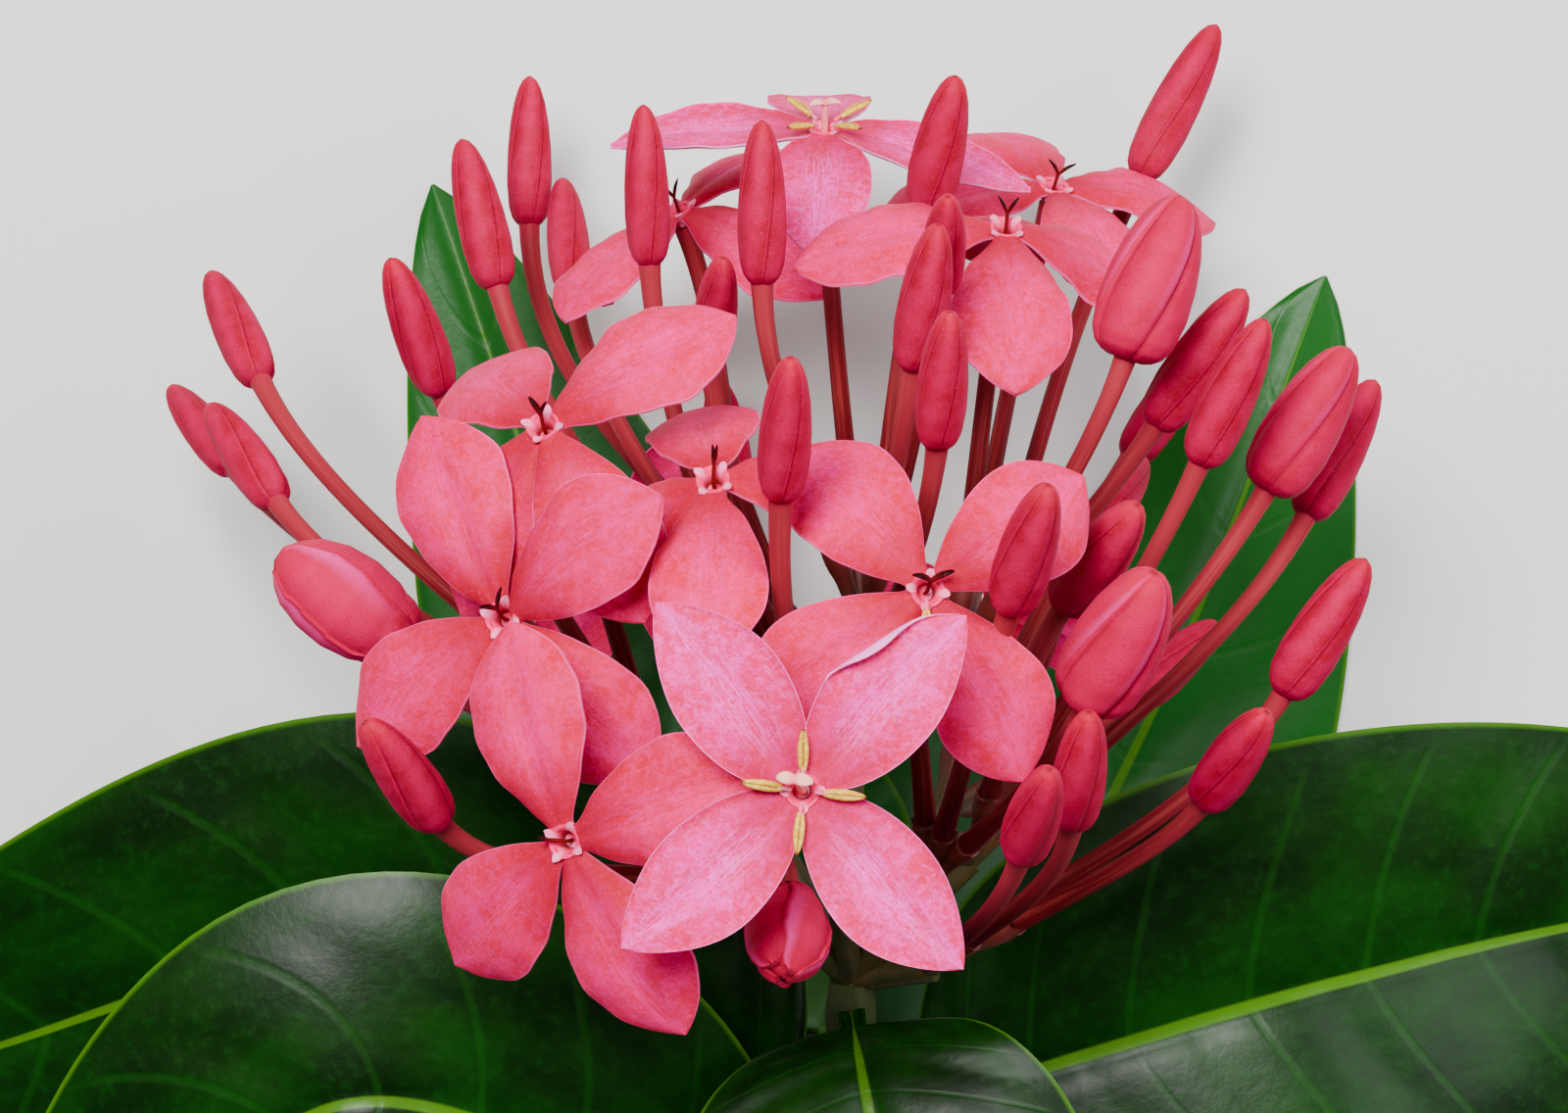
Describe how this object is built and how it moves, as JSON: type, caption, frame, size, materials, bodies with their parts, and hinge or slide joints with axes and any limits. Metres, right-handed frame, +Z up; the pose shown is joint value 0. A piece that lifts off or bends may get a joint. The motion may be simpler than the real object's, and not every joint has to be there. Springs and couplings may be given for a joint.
{
  "type": "flowering ixora sprig",
  "caption": "Cut ixora sprig lying down: a domed head of four-petalled pink flowers and slim long-tubed buds on a leafy stem.",
  "frame": {"origin": "bottom centre of the box round the sprig, on the surface that it lies on", "axes": "+Y along the sprig from the cut stem to the flower head, +X to its right across the pair of top leaves, +Z up out of the surface, towards the face of the flower head"},
  "size_m": [0.202, 0.1962, 0.0936],
  "materials": {
    "stem": "green bark, dull",
    "leaf": "leathery, glossy",
    "flower": "satin petal",
    "bud": "velvety"
  },
  "bodies": {
    "root": {"stem": "stem", "leaf_1": "leaf", "leaf_2": "leaf", "leaf_3": "leaf", "leaf_4": "leaf", "leaf_5": "leaf", "leaf_6": "leaf", "leaf_7": "leaf", "leaf_8": "leaf", "flower_1": "flower", "flower_2": "flower", "flower_3": "flower", "flower_4": "flower", "flower_5": "flower", "flower_6": "flower", "flower_7": "flower", "flower_8": "flower", "flower_9": "flower", "flower_10": "flower", "flower_11": "flower", "flower_12": "flower", "bud_1": "bud", "bud_2": "bud", "bud_3": "bud", "bud_4": "bud", "bud_5": "bud", "bud_6": "bud", "bud_7": "bud", "bud_8": "bud", "bud_9": "bud", "bud_10": "bud", "bud_11": "bud", "bud_12": "bud", "bud_13": "bud", "bud_14": "bud", "bud_15": "bud", "bud_16": "bud", "bud_17": "bud", "bud_18": "bud", "bud_19": "bud", "bud_20": "bud", "bud_21": "bud", "bud_22": "bud", "bud_23": "bud", "bud_24": "bud", "bud_25": "bud", "bud_26": "bud", "bud_27": "bud", "bud_28": "bud", "bud_29": "bud", "bud_30": "bud", "bud_31": "bud", "bud_32": "bud", "bud_33": "bud", "bud_34": "bud", "bud_35": "bud", "bud_36": "bud", "bud_37": "bud", "bud_38": "bud"}
  },
  "joints": []
}
